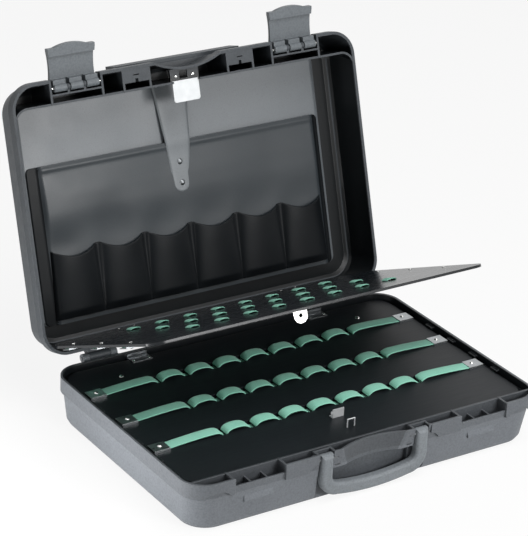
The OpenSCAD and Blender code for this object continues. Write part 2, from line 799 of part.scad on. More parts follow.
module board_hinge_plates() color(steel) on_base_board()
    wall_plates(base_hinge_x, rear_draft / base_h);
module board_hinge_pins() color(steel) on_base_board() small_pins(base_hinge_x);
module board_hinge_leaves() color(steel) on_base_board() board_leaves(base_hinge_x);
module board_hinge_rivets() color(steel) on_base_board() leaf_rivets(base_hinge_x);
module base_elastic_rear() color(green) on_base_board() elastic_row(base_rear_row, 0);
module base_elastic_middle() color(green) on_base_board() elastic_row(base_rear_row, 1);
module base_elastic_front() color(green) on_base_board() elastic_row(base_rear_row, 2);
module base_end_clips() color(steel) on_base_board() end_clips(base_rear_row);
module base_clip_rivets() color(steel) on_base_board() clip_rivets(base_rear_row);
module base_studs() color(steel) on_base_board() both_sides()
    translate([stud_x, -stud_back, face]) rivet(6, 1.8, board_t);

// Upright plate with a folded foot, near the front of the board
module catch_plate() color(steel) on_base_board() translate([0, -catch_back, face]) {
    limits(-7.5, 7.5, -0.5, 0.5, 0, 10.5);
    limits(-7.5, 7.5, -0.5, 6, 0, 1);
    limits(-9.5, -7.4, -0.5, 0.5, 5, 8.5);
}

// Upright wire staple in front of the catch plate
module catch_staple() color(steel) on_base_board() translate([0, -staple_back, face]) {
    for (s = [-1, 1]) translate([s * staple_x, 0, -board_t - 1])
        cylinder(d = staple_d, h = board_t + 10.7, $fn = 24);
    rod_x(0, 0, 9.7, staple_d, 2 * staple_x);
    for (s = [-1, 1]) translate([s * staple_x, 0, 9.7]) sphere(d = staple_d, $fn = 24);
}

// ---------- tool panel, hung in the lid ----------

panel_z = rim_z + panel_rise;
panel_y = lid_wall_y(panel_z) - hinge_reach;
panel_l = panel_y - board_edge - (lid_front_y + rib_t + 4);
panel_drop = lid_open - panel_tilt;      // angle between stowed and lowered
tongue_back = 215;
tongue_w = 18;

// Stowed flat in the closed lid with its loops down, then lowered with the lid open
module on_panel() opened_lid() swing(panel_y, panel_z, -panel_drop)
    translate([0, panel_y, panel_z]) mirror([0, 0, 1]) children();

module tool_panel() color(black) on_panel() difference() {
    board_plate(panel_l, panel_rear_row, panel_rear_r);
    leaf_rivet_holes(panel_hinge_x);
    translate([0, -tongue_back, 0]) cylinder(d = 3, h = big, center = true, $fn = 24);
}

module panel_hinge_plates() color(steel) opened_lid() translate([0, panel_y, panel_z]) mirror([0, 0, 1])
    wall_plates(panel_hinge_x, rear_draft / lid_h);
module panel_hinge_pins() color(steel) on_panel() small_pins(panel_hinge_x);
module panel_hinge_leaves() color(steel) on_panel() board_leaves(panel_hinge_x);
module panel_hinge_rivets() color(steel) on_panel() leaf_rivets(panel_hinge_x);
module panel_elastic_rear() color(green) on_panel() elastic_row(panel_rear_row, 0);
module panel_elastic_middle() color(green) on_panel() elastic_row(panel_rear_row, 1);
module panel_elastic_front() color(green) on_panel() elastic_row(panel_rear_row, 2);
module panel_end_clips() color(steel) on_panel() end_clips(panel_rear_row);
module panel_clip_rivets() color(steel) on_panel() clip_rivets(panel_rear_row);

// Round-ended tongue hanging from the panel, on a riveted foot
module panel_tongue() color(steel) on_panel() translate([0, -tongue_back, face]) {
    translate([0, 4.5, 0]) rotate([90, 0, 0]) linear_extrude(1) difference() {
        union() {
            translate([-tongue_w / 2, 0]) square([tongue_w, 20 - tongue_w / 2]);
            translate([0, 20 - tongue_w / 2]) circle(d = tongue_w);
        }
        translate([0, 20 - tongue_w / 2]) circle(d = 5);
    }
    limits(-tongue_w / 2, tongue_w / 2, -4, 4.5, 0, 1);
    translate([0, 0, 1]) rivet(5, 1.2, board_t + 1);
}

// ---------- soft lid lining (closed position) ----------

liner_t = 1.5;
liner_z = lid_floor - liner_t;           // visible face of the lining
pocket_sheet = 3;
document_z = liner_z - pocket_sheet;     // visible face of the document pocket
liner_front = lid_front_y + rib_t + 0.5;
liner_back = lid_wall_y(lid_floor) - edge_r - 14;
document_back = liner_back;
document_front = document_back - document_h;
pocket_back = document_back - 5;
strap_t = 1.2;
strap_root_w = 47;
strap_mid_w = 33;
strap_end_w = 23;

module lid_liner() color(dark) opened_lid() translate([0, (liner_front + liner_back) / 2, liner_z])
    linear_extrude(liner_t) rounded_rect(liner_w, liner_back - liner_front, 8);

// Flat pocket with a bound upper edge
module document_pocket() color(black) opened_lid() {
    translate([0, (document_front + document_back) / 2, document_z]) linear_extrude(pocket_sheet)
        rounded_rect(document_w, document_h, 8);
    limits(8 - document_w / 2, document_w / 2 - 8, document_front, document_front + 4,
        document_z - 0.8, document_z + 1);
}

// Row of pouches, each a shallow bow across its width
module tool_pockets() color(black) opened_lid() for (k = [0:pocket_count - 1])
    translate([(k - (pocket_count - 1) / 2) * pocket_pitch, pocket_back, document_z])
        rotate([90, 0, 0]) linear_extrude(pocket_h) mirror([0, 1]) bow(pocket_w, pocket_rise);

strap_front = liner_front;
strap_tip = strap_front + strap_l;
strap_z = document_z - 0.8;              // upper face of the strap over the pocket

module strap_outline() {
    end_y = strap_tip - strap_end_w / 2;
    polygon([[-strap_root_w / 2, strap_front], [strap_root_w / 2, strap_front],
        [strap_mid_w / 2, document_front], [strap_end_w / 2, end_y],
        [-strap_end_w / 2, end_y], [-strap_mid_w / 2, document_front]]);
    translate([0, end_y]) circle(d = strap_end_w);
}

// Side view of the strap: from the lining over the pocket's edge and along it
module strap_profile() polygon([[strap_front, liner_z], [strap_front, liner_z - strap_t],
    [document_front, strap_z - strap_t], [strap_tip, strap_z - strap_t],
    [strap_tip, strap_z], [document_front, strap_z], [strap_front + 4, liner_z]]);

module closing_strap() color(dark) opened_lid() translate([-strap_off, 0, 0]) difference() {
    intersection() {
        linear_extrude(big) strap_outline();
        translate([-50, 0, 0]) rotate([90, 0, 90]) linear_extrude(100) strap_profile();
    }
    strap_snap_spots() cylinder(d = 3.5, h = big, center = true, $fn = 24);
}

module strap_snap_spots() for (y = [strap_tip - 11, strap_tip - 36]) translate([0, y, strap_z]) children();

module strap_snaps() color(steel) opened_lid() translate([-strap_off, 0, 0]) strap_snap_spots()
    mirror([0, 0, 1]) translate([0, 0, strap_t]) rivet(7, 1.6, strap_t + 0.8);

// Bright bare plate over the strap's root, seated in the partition's notch
module strap_plate() color(steel) opened_lid()
    translate([-strap_off, lid_front_y, rim_z + plate_drop - plate_t]) linear_extrude(plate_t) {
        translate([-plate_w / 2, 0]) square([plate_w, plate_h - 3]);
        translate([0, plate_h - 4]) rounded_rect(plate_w, 8, 3);
    }

module strap_plate_rivets() color(steel) opened_lid() for (s = [-1, 1])
    translate([-strap_off + s * 11.5, lid_front_y - 5, rim_z + plate_drop]) mirror([0, 0, 1])
        rivet(4.5, 1.4, rib_t);

base_shell();
lid_shell();
hinge_pins();
carry_handle();
handle_pins();
latch_left();
latch_right();
latch_pins();
base_board();
board_hinge_plates();
board_hinge_pins();
board_hinge_leaves();
board_hinge_rivets();
base_elastic_rear();
base_elastic_middle();
base_elastic_front();
base_end_clips();
base_clip_rivets();
base_studs();
catch_plate();
catch_staple();
tool_panel();
panel_hinge_plates();
panel_hinge_pins();
panel_hinge_leaves();
panel_hinge_rivets();
panel_elastic_rear();
panel_elastic_middle();
panel_elastic_front();
panel_end_clips();
panel_clip_rivets();
panel_tongue();
lid_liner();
document_pocket();
tool_pockets();
closing_strap();
strap_snaps();
strap_plate();
strap_plate_rivets();
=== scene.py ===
"""Looks of an open hard tool case: moulded shells, leatherette pockets, elastic tool loops."""

import math

import bpy
from mathutils import Matrix, Vector


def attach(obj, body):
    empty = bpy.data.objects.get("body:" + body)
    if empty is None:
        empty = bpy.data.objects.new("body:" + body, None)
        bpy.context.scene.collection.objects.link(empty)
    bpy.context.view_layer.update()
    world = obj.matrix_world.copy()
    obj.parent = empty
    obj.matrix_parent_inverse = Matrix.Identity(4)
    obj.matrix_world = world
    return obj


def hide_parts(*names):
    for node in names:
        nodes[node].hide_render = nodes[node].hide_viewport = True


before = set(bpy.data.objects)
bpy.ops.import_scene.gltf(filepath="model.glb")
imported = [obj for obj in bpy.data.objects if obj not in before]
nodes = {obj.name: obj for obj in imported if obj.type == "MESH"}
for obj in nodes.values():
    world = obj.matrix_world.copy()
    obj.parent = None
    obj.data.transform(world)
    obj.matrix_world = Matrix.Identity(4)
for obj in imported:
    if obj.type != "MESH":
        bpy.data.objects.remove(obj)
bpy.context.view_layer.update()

MM = 0.001

# ---------------------------------------------------------------- places on the case, in mm
LID_AXIS = (163.0, 60.0)          # y and z of the hinge between the shells
LID_OPEN = math.radians(107.0)
BOARD_AXIS = (148.273, 53.2)      # y and z of the lower board's hinge
PANEL_AXIS = (197.247, 65.989)    # y and z of the lowered panel's hinge
PANEL_TILT = math.radians(24.5)
FACE = 0.8                        # a board's loop side above its hinge axis
BOARD_T = 3.0

# the closed lid's own places; y grows towards the hinges
LINER_Z = 106.4                   # visible face of the lining
LINER_X = (-206.0, 197.0)
LINER_Y = (-126.0, 128.6)
LINER_T = 1.2
DOCUMENT_Z = 103.4                # visible face of the document pocket
DOCUMENT_X = (-203.0, 194.0)
DOCUMENT_BORDER = 187.5           # the welded border starts this far from the middle
POCKET_BACK = 128.6               # bottom of the pockets, next to the hinges
POCKET_TOP = -55.4                # mouth of the document pocket
POCKET_T = 1.0                    # thickness of the pockets' leatherette


def in_lid(x, y, z):
    """A point of the closed lid as a point of the open case, in metres."""
    dy, dz = y - LID_AXIS[0], z - LID_AXIS[1]
    c, s = math.cos(LID_OPEN), math.sin(LID_OPEN)
    return (x * MM, (LID_AXIS[0] + dy * c + dz * s) * MM, (LID_AXIS[1] - dy * s + dz * c) * MM)


def on_board(x, v, w):
    """A point on the lower board: v is negative towards the front, w stands up from the axis."""
    return (x * MM, (BOARD_AXIS[0] + v) * MM, (BOARD_AXIS[1] + w) * MM)


def on_panel(x, v, w):
    """A point on the lowered panel, whose loop side faces down."""
    c, s = math.cos(PANEL_TILT), math.sin(PANEL_TILT)
    return (x * MM, (PANEL_AXIS[0] + v * c - w * s) * MM, (PANEL_AXIS[1] - v * s - w * c) * MM)


# ---------------------------------------------------------------- materials
def hex_rgb(code):
    """An sRGB hex colour as linear RGBA."""
    channels = [int(code[i:i + 2], 16) / 255 for i in (1, 3, 5)]
    linear = [c / 12.92 if c <= 0.04045 else ((c + 0.055) / 1.055) ** 2.4 for c in channels]
    return (*linear, 1.0)


def add(tree, kind, inputs=None, **settings):
    """Adds a node with its settings, and fills its inputs with values or other nodes' outputs."""
    node = tree.nodes.new(kind)
    for name, value in settings.items():
        setattr(node, name, value)
    for key, value in (inputs or {}).items():
        if isinstance(value, bpy.types.NodeSocket):
            tree.links.new(value, node.inputs[key])
        else:
            node.inputs[key].default_value = value
    return node


def start_material(name):
    """An empty material with its output, and the object's own coordinates in metres."""
    made = bpy.data.materials.new(name)
    made.use_nodes = True
    tree = made.node_tree
    tree.nodes.clear()
    place = add(tree, "ShaderNodeTexCoord").outputs["Object"]
    return made, tree, place


def per_mm(size):
    """Texture scale, in repeats per metre, for a pattern of that size in millimetres."""
    return 1000.0 / size


def end_material(tree, shader):
    """Sends a shader to the material's output."""
    add(tree, "ShaderNodeOutputMaterial", {"Surface": shader.outputs[0]})


# a shell seen closed, in metres: its closed face and its rim (z), how its walls lean, and the
# corner centres, corner radius and edge rounding of its inner form
BASE_ENDS = (0.0, 0.06)
LID_ENDS = (0.1104, 0.0604)
SIDE_LEAN, REAR_SHIFT, END_LEAN = 0.007, -0.003, 0.005
CORNER_CENTRE = (0.2, 0.125, 0.0)
INNER_CORNER = (0.0274, 0.0279)
INNER_EDGE = 0.0078
CLOSED_FACE = (0.0014, 0.0010)
FRONT_BAYS = (-0.132, -0.138)     # y where the front rim's hollow bays begin
BAY_SHARE = 0.6                   # the bays are only partly grained, and keep part of the inner faces' painted shade
LID_RIM = (0.0624, 0.0616)


def outside_of_shell(tree, place, lid):
    """1 on the outer faces of a shell and on the lid's rim, 0 on its inner faces, which get the
    dark colour painted as shade.
    """
    if lid:
        place = add(tree, "ShaderNodeVectorRotate", {
            "Vector": place, "Center": (0.0, LID_AXIS[0] * MM, LID_AXIS[1] * MM),
            "Angle": LID_OPEN}, rotation_type="X_AXIS").outputs[0]
    axes = add(tree, "ShaderNodeSeparateXYZ", {0: place})
    x, y, z = axes.outputs
    face_z, rim_z = LID_ENDS if lid else BASE_ENDS
    lean = add(tree, "ShaderNodeMapRange", {"Value": z, "From Min": rim_z, "From Max": face_z,
                                            "To Min": 0.0, "To Max": 1.0})
    depth = add(tree, "ShaderNodeMapRange", {"Value": z, "From Min": face_z, "From Max": rim_z,
                                             "To Min": 0.0, "To Max": abs(face_z - rim_z)})
    wide = add(tree, "ShaderNodeMath", {0: x}, operation="ABSOLUTE")
    side = add(tree, "ShaderNodeMath", {0: lean.outputs[0], 1: SIDE_LEAN, 2: wide.outputs[0]},
               operation="MULTIPLY_ADD")
    middle = add(tree, "ShaderNodeMath", {0: lean.outputs[0], 1: REAR_SHIFT, 2: y},
                 operation="MULTIPLY_ADD")
    long = add(tree, "ShaderNodeMath", {0: middle.outputs[0]}, operation="ABSOLUTE")
    end = add(tree, "ShaderNodeMath", {0: lean.outputs[0], 1: END_LEAN, 2: long.outputs[0]},
              operation="MULTIPLY_ADD")
    both = add(tree, "ShaderNodeCombineXYZ", {0: side.outputs[0], 1: end.outputs[0], 2: 0.0})
    past = add(tree, "ShaderNodeVectorMath", {0: both.outputs[0], 1: CORNER_CENTRE},
               operation="SUBTRACT")
    corner = add(tree, "ShaderNodeVectorMath", {0: past.outputs[0], 1: (0.0, 0.0, 0.0)},
                 operation="MAXIMUM")
    reach = add(tree, "ShaderNodeVectorMath", {0: corner.outputs[0]}, operation="LENGTH")
    round_end = add(tree, "ShaderNodeMapRange", {"Value": depth.outputs[0], "From Min": 0.0,
                                                 "From Max": INNER_EDGE, "To Min": INNER_EDGE,
                                                 "To Max": 0.0})
    total = add(tree, "ShaderNodeMath", {0: reach.outputs["Value"], 1: round_end.outputs[0]})
    wall = add(tree, "ShaderNodeMapRange", {
        "Value": total.outputs[0], "From Min": INNER_CORNER[0], "From Max": INNER_CORNER[1]})
    closed_end = add(tree, "ShaderNodeMapRange", {
        "Value": depth.outputs[0], "From Min": CLOSED_FACE[0], "From Max": CLOSED_FACE[1]})
    outside = add(tree, "ShaderNodeMath", {0: wall.outputs[0], 1: closed_end.outputs[0]},
                  operation="MAXIMUM").outputs[0]
    front = add(tree, "ShaderNodeMapRange", {"Value": y, "From Min": FRONT_BAYS[0],
                                             "From Max": FRONT_BAYS[1], "To Max": BAY_SHARE})
    outside = add(tree, "ShaderNodeMath", {0: outside, 1: front.outputs[0]},
                  operation="MAXIMUM").outputs[0]
    if lid:
        rim = add(tree, "ShaderNodeMapRange", {"Value": z, "From Min": LID_RIM[0],
                                               "From Max": LID_RIM[1], "To Max": 1.0})
        outside = add(tree, "ShaderNodeMath", {0: outside, 1: rim.outputs[0]},
                      operation="MAXIMUM").outputs[0]
    return outside


BASE_BAND = (0.0412, 0.0424)      # z where the base's proud rim band begins, in metres; the band is painted darker as shade
BAND_SHADE = 0.78


def moulded_plastic(name, grained, plain, rough, grain_depth, part=None):
    """Injection moulded plastic: spark-eroded outer faces are pale and matt with a fine even grain,
    polished inner faces shine a little and are painted dark as shade, and handled edges are paler,
    partly from wear and partly as a painted sheen."""
    made, tree, place = start_material(name)
    outside = outside_of_shell(tree, place, part == "lid") if part else 1.0
    flow = add(tree, "ShaderNodeTexNoise", {"Vector": place, "Scale": per_mm(90), "Detail": 2.0})
    grain = add(tree, "ShaderNodeTexVoronoi", {"Vector": place, "Scale": per_mm(1.9)},
                feature="SMOOTH_F1")
    scuff = add(tree, "ShaderNodeTexNoise", {"Vector": place, "Scale": per_mm(14), "Detail": 6.0,
                                             "Roughness": 0.7})
    edge = add(tree, "ShaderNodeBevel", {"Radius": 0.8 * MM}, samples=6)
    true = add(tree, "ShaderNodeNewGeometry")
    turn = add(tree, "ShaderNodeVectorMath", {0: edge.outputs[0], 1: true.outputs["Normal"]},
               operation="DOT_PRODUCT")
    # handled edges are paler: partly wear, partly a painted sheen on the edges
    edge_wear_and_sheen = add(tree, "ShaderNodeMapRange", {"Value": turn.outputs["Value"], "From Min": 0.995,
                                            "From Max": 0.86, "To Min": 0.0, "To Max": 0.5})
    rubbed_wear_and_sheen = add(tree, "ShaderNodeMath", {0: edge_wear_and_sheen.outputs[0], 1: scuff.outputs["Fac"]},
                 operation="MULTIPLY")
    face = add(tree, "ShaderNodeMix", {0: outside, 6: hex_rgb(plain), 7: hex_rgb(grained)},
               data_type="RGBA")
    pits = add(tree, "ShaderNodeMapRange", {"Value": grain.outputs["Distance"], "From Min": 0.2,
                                            "From Max": 0.8, "To Min": 1.12, "To Max": 0.86})
    vary = add(tree, "ShaderNodeMapRange", {"Value": flow.outputs["Fac"], "From Min": 0.3,
                                            "From Max": 0.7, "To Min": 0.95, "To Max": 1.05})
    vary = add(tree, "ShaderNodeMath", {0: vary.outputs[0], 1: pits.outputs[0]},
               operation="MULTIPLY")
    # painted shade: the base's rim band is darker than the wall below it
    if part == "base":
        height = add(tree, "ShaderNodeSeparateXYZ", {0: place})
        band = add(tree, "ShaderNodeMapRange", {
            "Value": height.outputs["Z"], "From Min": BASE_BAND[0], "From Max": BASE_BAND[1],
            "To Min": 1.0, "To Max": BAND_SHADE})
        vary = add(tree, "ShaderNodeMath", {0: vary.outputs[0], 1: band.outputs[0]},
                   operation="MULTIPLY")
    toned = add(tree, "ShaderNodeVectorMath", {0: face.outputs[2], 3: vary.outputs[0]},
                operation="SCALE")
    worn_and_sheen_colour = add(tree, "ShaderNodeMix", {0: rubbed_wear_and_sheen.outputs[0], 6: toned.outputs[0],
                                       7: hex_rgb("#8d9194")}, data_type="RGBA")
    matt = add(tree, "ShaderNodeMapRange", {"Value": scuff.outputs["Fac"], "From Min": 0.3,
                                            "From Max": 0.7, "To Min": rough - 0.05,
                                            "To Max": rough + 0.07})
    roughness = add(tree, "ShaderNodeMix", {0: outside, 2: 0.3, 3: matt.outputs[0]})
    depth = add(tree, "ShaderNodeMapRange", {"Value": outside, "To Min": 0.05,
                                             "To Max": grain_depth})
    bump = add(tree, "ShaderNodeBump", {"Height": grain.outputs["Distance"],
                                        "Strength": depth.outputs[0],
                                        "Distance": 0.2 * MM, "Normal": edge.outputs[0]})
    shader = add(tree, "ShaderNodeBsdfPrincipled", {
        "Base Color": worn_and_sheen_colour.outputs[2], "Roughness": roughness.outputs[0], "IOR": 1.49,
        "Specular IOR Level": 0.3, "Normal": bump.outputs[0]})
    end_material(tree, shader)
    return made


def plastic_sheet(name, rough):
    """Rigid PVC sheet with a calendered gloss face: nearly black, a faint orange peel, and fine
    scratches from tools that dull it in streaks."""
    made, tree, place = start_material(name)
    peel = add(tree, "ShaderNodeTexNoise", {"Vector": place, "Scale": per_mm(6), "Detail": 3.0})
    haze = add(tree, "ShaderNodeTexNoise", {"Vector": place, "Scale": per_mm(70), "Detail": 3.0})
    along = add(tree, "ShaderNodeVectorMath", {0: place, 1: (8.0, 160.0, 160.0)},
                operation="MULTIPLY")
    streak = add(tree, "ShaderNodeTexNoise", {"Vector": along.outputs[0], "Scale": 3.0,
                                              "Detail": 5.0, "Roughness": 0.7})
    tone = add(tree, "ShaderNodeMix", {0: haze.outputs["Fac"], 6: hex_rgb("#0e1114"),
                                       7: hex_rgb("#171b1f")}, data_type="RGBA")
    dull = add(tree, "ShaderNodeMapRange", {"Value": streak.outputs["Fac"], "From Min": 0.35,
                                            "From Max": 0.75, "To Min": rough - 0.04,
                                            "To Max": rough + 0.06})
    edge = add(tree, "ShaderNodeBevel", {"Radius": 0.5 * MM}, samples=6)
    bump = add(tree, "ShaderNodeBump", {"Height": peel.outputs["Fac"], "Strength": 0.12,
                                        "Distance": 0.15 * MM, "Normal": edge.outputs[0]})
    shader = add(tree, "ShaderNodeBsdfPrincipled", {
        "Base Color": tone.outputs[2], "Roughness": dull.outputs[0], "IOR": 1.54,
        "Specular IOR Level": 0.24, "Normal": bump.outputs[0]})
    end_material(tree, shader)
    return made


def leatherette(name, dark, light, rough, grain_mm, grain_depth, sheen, specular):
    """Artificial leather, a PVC skin embossed with a leather grain on a cloth back: soft sheen,
    small pebbles with creases between them that are painted darker as shade, and slow changes of
    gloss where it is stretched."""
    made, tree, place = start_material(name)
    pebble = add(tree, "ShaderNodeTexVoronoi", {"Vector": place, "Scale": per_mm(grain_mm),
                                                "Randomness": 0.9}, feature="F1")
    crease = add(tree, "ShaderNodeTexVoronoi", {"Vector": place, "Scale": per_mm(grain_mm)},
                 feature="DISTANCE_TO_EDGE")
    wave = add(tree, "ShaderNodeTexNoise", {"Vector": place, "Scale": per_mm(60), "Detail": 4.0})
    tone = add(tree, "ShaderNodeMix", {0: wave.outputs["Fac"], 6: hex_rgb(dark),
                                       7: hex_rgb(light)}, data_type="RGBA")
    # painted shade: the colour darkens towards the creases of the grain
    crease_shade = add(tree, "ShaderNodeMapRange", {"Value": crease.outputs["Distance"], "From Min": 0.0,
                                            "From Max": 0.12, "To Min": 0.75, "To Max": 1.0})
    shaded = add(tree, "ShaderNodeVectorMath", {0: tone.outputs[2], 3: crease_shade.outputs[0]},
                 operation="SCALE")
    gloss = add(tree, "ShaderNodeMapRange", {"Value": wave.outputs["Fac"], "From Min": 0.3,
                                             "From Max": 0.7, "To Min": rough - 0.05,
                                             "To Max": rough + 0.05})
    bump = add(tree, "ShaderNodeBump", {"Height": pebble.outputs["Distance"],
                                        "Strength": grain_depth, "Distance": 0.2 * MM})
    bump.invert = True
    shader = add(tree, "ShaderNodeBsdfPrincipled", {
        "Base Color": shaded.outputs[0], "Roughness": gloss.outputs[0], "IOR": 1.5,
        "Specular IOR Level": specular, "Sheen Weight": sheen, "Sheen Roughness": 0.5,
        "Normal": bump.outputs[0]})
    end_material(tree, shader)
    return made


def woven_elastic():
    """Rubber-cored elastic tape woven in polyester yarn: fine ribs across the tape, drawn 1.3 mm
    apart because the real 0.7 mm would not show, a soft cloth sheen and slightly uneven dye."""
    made, tree, place = start_material("woven elastic tape")
    across = add(tree, "ShaderNodeVectorMath", {0: place, 1: (1.0, 0.0, 0.0)},
                 operation="MULTIPLY")
    rib = add(tree, "ShaderNodeTexWave", {"Vector": across.outputs[0],
                                          "Scale": per_mm(1.3) * math.pi / 10,
                                          "Distortion": 0.6, "Detail": 1.0}, wave_type="BANDS",
              bands_direction="X")
    yarn = add(tree, "ShaderNodeTexNoise", {"Vector": place, "Scale": per_mm(1.1), "Detail": 2.0})
    dye = add(tree, "ShaderNodeTexNoise", {"Vector": place, "Scale": per_mm(30), "Detail": 1.0})
    mixed = add(tree, "ShaderNodeMath", {0: rib.outputs["Fac"], 1: yarn.outputs["Fac"]},
                operation="MULTIPLY")
    tone = add(tree, "ShaderNodeMix", {0: mixed.outputs[0], 6: hex_rgb("#6fbba2"),
                                       7: hex_rgb("#b9eedb")}, data_type="RGBA")
    aged = add(tree, "ShaderNodeMix", {0: dye.outputs["Fac"], 6: tone.outputs[2],
                                       7: hex_rgb("#95d4be")}, data_type="RGBA")
    bump = add(tree, "ShaderNodeBump", {"Height": mixed.outputs[0], "Strength": 0.5,
                                        "Distance": 0.3 * MM})
    shader = add(tree, "ShaderNodeBsdfPrincipled", {
        "Base Color": aged.outputs[2], "Roughness": 0.75, "IOR": 1.5, "Specular IOR Level": 0.3,
        "Sheen Weight": 0.25, "Sheen Roughness": 0.4, "Normal": bump.outputs[0]})
    end_material(tree, shader)
    return made


def plated_metal(name, light, dark, rough, radius, metal=1.0):
    """Steel, stamped and then plated: an even bright skin with faint clouding, edges rolled over
    by the press, and a trace of brushing under the plate."""
    made, tree, place = start_material(name)
    cloud = add(tree, "ShaderNodeTexNoise", {"Vector": place, "Scale": per_mm(9), "Detail": 4.0})
    along = add(tree, "ShaderNodeVectorMath", {0: place, 1: (90.0, 1100.0, 1100.0)},
                operation="MULTIPLY")
    brush = add(tree, "ShaderNodeTexNoise", {"Vector": along.outputs[0], "Scale": 1.0,
                                             "Detail": 3.0})
    tone = add(tree, "ShaderNodeMix", {0: cloud.outputs["Fac"], 6: hex_rgb(light),
                                       7: hex_rgb(dark)}, data_type="RGBA")
    gloss = add(tree, "ShaderNodeMapRange", {"Value": brush.outputs["Fac"], "From Min": 0.3,
                                             "From Max": 0.7, "To Min": rough - 0.05,
                                             "To Max": rough + 0.08})
    edge = add(tree, "ShaderNodeBevel", {"Radius": radius * MM}, samples=6)
    bump = add(tree, "ShaderNodeBump", {"Height": brush.outputs["Fac"], "Strength": 0.06,
                                        "Distance": 0.1 * MM, "Normal": edge.outputs[0]})
    shader = add(tree, "ShaderNodeBsdfPrincipled", {
        "Base Color": tone.outputs[2], "Metallic": metal, "Roughness": gloss.outputs[0],
        "Normal": bump.outputs[0]})
    end_material(tree, shader)
    return made


# the second colour of each shell is painted shade on its inner faces
base_plastic = moulded_plastic("moulded polypropylene of the base", "#6a6e73", "#15181b", 0.5,
                               0.5, "base")
# painted shade: the lid's outer colour is darker than the base's, though both shells are one
# plastic
darkened_lid_plastic = moulded_plastic("moulded polypropylene of the lid", "#3d4145", "#0e1113", 0.5, 0.5,
                              "lid")
handle_plastic = moulded_plastic("moulded polypropylene", "#757a7e", "#25282b", 0.5, 0.5)
latch_plastic = moulded_plastic("moulded polyamide", "#62676b", "#62676b", 0.4, 0.2)
board_plastic = plastic_sheet("calendered PVC sheet", 0.46)
panel_plastic = plastic_sheet("calendered PVC sheet of the panel", 0.26)
# one leatherette at several lightnesses: the lining lighter as a painted highlight, the document
# pocket darker and the tool pockets near black as painted shade
lightened_liner_skin = leatherette("satin leatherette", "#5e6367", "#6a6f73", 0.36, 1.3, 0.2, 0.06, 0.5)
pocket_skin = leatherette("pocket leatherette", "#2c3135", "#353b3f", 0.36, 1.2, 0.2, 0.03,
                          0.3)
darkened_pouch_skin = leatherette("tool pocket leatherette", "#090c0f", "#0d1114", 0.38, 1.2, 0.2, 0.03,
                         0.12)
strap_skin = leatherette("strap leatherette", "#62676a", "#71767a", 0.4, 1.2, 0.2, 0.1, 0.5)
elastic = woven_elastic()
zinc = plated_metal("zinc plated steel", "#c9cbcc", "#b1b4b6", 0.46, 0.3, 0.35)
# painted reflection: a darker copy of the zinc plate, standing in for the dark surroundings these
# parts mirror
darkened_zinc = plated_metal("zinc plate darkened as painted reflection", "#8b8e90", "#626568", 0.36, 0.3)
clip_steel = plated_metal("zinc plated spring steel", "#b4b7b9", "#969a9c", 0.3, 0.25)
nickel = plated_metal("nickel plated steel", "#e9e9e6", "#d2d3d1", 0.13, 0.25)

# the rigid parts of each finish; every other rigid part is nickel plated
PARTS_OF_FINISH = [
    (base_plastic, ["base_shell"]),
    (darkened_lid_plastic, ["lid_shell"]),
    (handle_plastic, ["carry_handle"]),
    (latch_plastic, ["latch_left", "latch_right"]),
    (board_plastic, ["base_board"]),
    (panel_plastic, ["tool_panel"]),
    (darkened_zinc, ["hinge_pins", "handle_pins", "board_hinge_plates", "board_hinge_leaves",
                 "board_hinge_pins", "panel_hinge_plates", "panel_hinge_leaves",
                 "panel_hinge_pins", "strap_snaps", "panel_end_clips"]),
    (zinc, ["catch_plate", "catch_staple", "strap_plate"]),
    (clip_steel, ["base_end_clips"]),
]
FINISH_OF_PART = {part: finish for finish, parts in PARTS_OF_FINISH for part in parts}


# ---------------------------------------------------------------- making pieces
def mesh_piece(name, points, faces, finish, body, slot, replaced=()):
    """A piece from points in metres and faces, with its material, body and the CAD nodes that it
    stands for; the slot is not used."""
    mesh = bpy.data.meshes.new(name)
    mesh.from_pydata([tuple(p) for p in points], [], faces)
    mesh.validate()
    mesh.update()
    for polygon in mesh.polygons:
        polygon.use_smooth = True
    mesh.materials.append(finish)
    piece = bpy.data.objects.new(name, mesh)
    bpy.context.scene.collection.objects.link(piece)
    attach(piece, body)
    if replaced:
        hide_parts(*replaced)
    return piece


def grid_faces(rows, columns, offset=0, flip=False):
    """Quads of a grid of points stored row by row."""
    faces = []
    for i in range(rows - 1):
        for j in range(columns - 1):
            a = offset + i * columns + j
            quad = (a, a + 1, a + columns + 1, a + columns)
            faces.append(quad[::-1] if flip else quad)
    return faces


def skin_between(front, back):
    """Closed mesh between two grids of points of the same shape; front faces the viewer."""
    rows, columns = len(front), len(front[0])
    points = [p for row in front for p in row] + [p for row in back for p in row]
    size = rows * columns
    faces = grid_faces(rows, columns) + grid_faces(rows, columns, size, flip=True)
    rim = ([(0, j) for j in range(columns)] + [(i, columns - 1) for i in range(1, rows)]
           + [(rows - 1, j) for j in range(columns - 2, -1, -1)]
           + [(i, 0) for i in range(rows - 2, 0, -1)])
    ids = [i * columns + j for i, j in rim]
    for k, a in enumerate(ids):
        b = ids[(k + 1) % len(ids)]
        faces.append((b, a, a + size, b + size))
    return points, faces


def smooth_step(low, high, value):
    """0 up to low, 1 from high on, and an S-shaped rise between them; low may be the larger."""
    t = min(max((value - low) / (high - low), 0.0), 1.0)
    return t * t * (3 - 2 * t)


def swell(x, y, spots):
    """Sum of soft bumps (x, y, width, height) at a place on the lining."""
    return sum(h * math.exp(-((x - cx) ** 2 + (y - cy) ** 2) / (2 * w * w))
               for cx, cy, w, h in spots)


# ---------------------------------------------------------------- lining and pockets of the lid
def rounded_span(half, radius, y, back, front):
    """Half width of a rounded rectangle at y, between front and back."""
    near = min(y - front, back - y)
    if near >= radius:
        return half
    return half - radius + math.sqrt(max(radius ** 2 - (radius - near) ** 2, 0.0))


